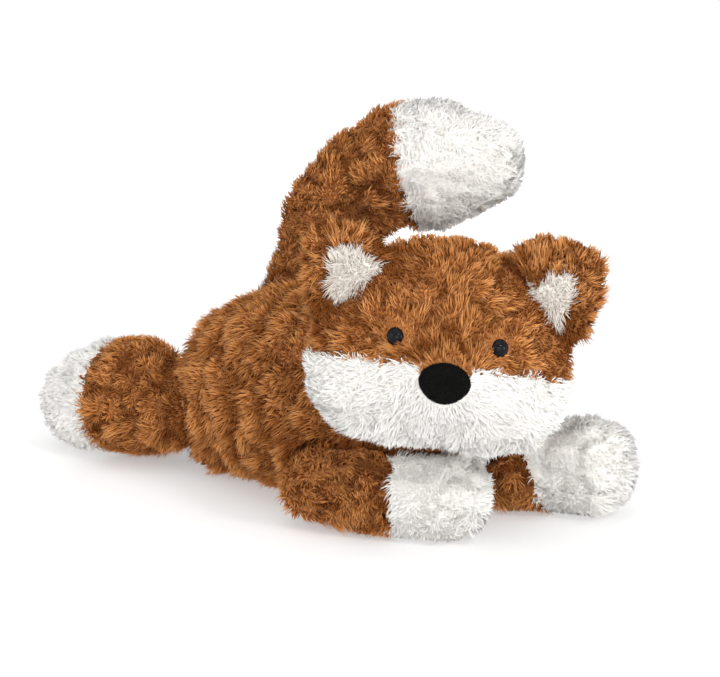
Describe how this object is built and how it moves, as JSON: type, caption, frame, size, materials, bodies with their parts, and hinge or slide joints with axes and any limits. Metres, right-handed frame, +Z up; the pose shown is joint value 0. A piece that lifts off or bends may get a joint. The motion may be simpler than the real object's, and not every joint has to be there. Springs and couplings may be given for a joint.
{
  "type": "plush fox",
  "caption": "Stuffed plush fox lying on its belly, head turned to its right, forelegs out in front, hind legs stretched back and a thick pale-tipped tail curled up over its back.",
  "frame": {"origin": "on the floor, in the flat that the belly rests on", "axes": "the fox faces -Y, its own left side is +X and +Z is up; the head is turned towards -X"},
  "size_m": [0.1886, 0.3424, 0.1995],
  "materials": {
    "brown_plush": "long wavy chestnut pile with darker roots",
    "white_plush": "long wavy cream-white pile",
    "filling": "loose polyester fibre",
    "pellet_sack": "plain woven cloth",
    "nose_felt": "black felt, dull",
    "bead": "glossy black",
    "washer": "moulded, natural"
  },
  "bodies": {
    "torso": {"body_skin": "brown_plush", "chest_bib": "white_plush", "body_filling": "filling", "pellet_bag": "pellet_sack"},
    "neck": {"neck_filling": "filling"},
    "head": {"head_crown": "brown_plush", "face_mask": "white_plush", "head_filling": "filling", "nose": "nose_felt", "eye_right": "bead", "eye_left": "bead", "eye_washer_right": "washer", "eye_washer_left": "washer"},
    "ear_right_body": {"ear_right": "brown_plush", "ear_lining_right": "white_plush"},
    "ear_left_body": {"ear_left": "brown_plush", "ear_lining_left": "white_plush"},
    "arm_right": {"arm_right_sleeve": "brown_plush", "paw_right": "white_plush", "arm_right_filling": "filling"},
    "arm_left": {"arm_left_sleeve": "brown_plush", "paw_left": "white_plush", "arm_left_filling": "filling"},
    "leg_right": {"leg_right_sleeve": "brown_plush", "foot_right": "white_plush", "leg_right_filling": "filling"},
    "leg_left": {"leg_left_sleeve": "brown_plush", "foot_left": "white_plush", "leg_left_filling": "filling"},
    "tail": {"tail_sleeve": "brown_plush", "tail_tip": "white_plush", "tail_filling": "filling"}
  },
  "joints": [
    {"name": "head_turn", "type": "hinge", "parent": "torso", "child": "neck", "pos_m": [0.017, -0.076, 0.062], "axis": [0, 0, 1], "range_deg": [-20, 20], "stiffness_Nm_per_rad": 0.05},
    {"name": "head_nod", "type": "hinge", "parent": "neck", "child": "head", "pos_m": [0.017, -0.076, 0.062], "axis": [-0.7771, 0.6293, 0], "range_deg": [0, 15], "stiffness_Nm_per_rad": 0.05},
    {"name": "ear_right_fold", "type": "hinge", "parent": "head", "child": "ear_right_body", "pos_m": [-0.04573, -0.10937, 0.11664], "axis": [0.5637, -0.4565, 0.6884], "range_deg": [-20, 20], "stiffness_Nm_per_rad": 0.01},
    {"name": "ear_left_fold", "type": "hinge", "parent": "head", "child": "ear_left_body", "pos_m": [0.00523, -0.15064, 0.10917], "axis": [0.4289, -0.3473, -0.8339], "range_deg": [-20, 20], "stiffness_Nm_per_rad": 0.01},
    {"name": "arm_right_swing", "type": "hinge", "parent": "torso", "child": "arm_right", "pos_m": [-0.036, -0.055, 0.0233], "axis": [0, 0, 1], "range_deg": [-40, 0], "stiffness_Nm_per_rad": 0.02},
    {"name": "arm_left_swing", "type": "hinge", "parent": "torso", "child": "arm_left", "pos_m": [0.04, -0.067, 0.0233], "axis": [0, 0, 1], "range_deg": [-10, 40], "stiffness_Nm_per_rad": 0.02},
    {"name": "leg_right_lift", "type": "hinge", "parent": "torso", "child": "leg_right", "pos_m": [-0.031, 0.075, 0.035], "axis": [1, 0, 0], "range_deg": [-15, 25], "stiffness_Nm_per_rad": 0.03},
    {"name": "leg_left_lift", "type": "hinge", "parent": "torso", "child": "leg_left", "pos_m": [0.025, 0.075, 0.035], "axis": [1, 0, 0], "range_deg": [-15, 25], "stiffness_Nm_per_rad": 0.03},
    {"name": "tail_fold", "type": "hinge", "parent": "torso", "child": "tail", "pos_m": [0.019, 0.05, 0.084], "axis": [-0.788, -0.6157, 0], "range_deg": [0, 40], "stiffness_Nm_per_rad": 0.05}
  ]
}
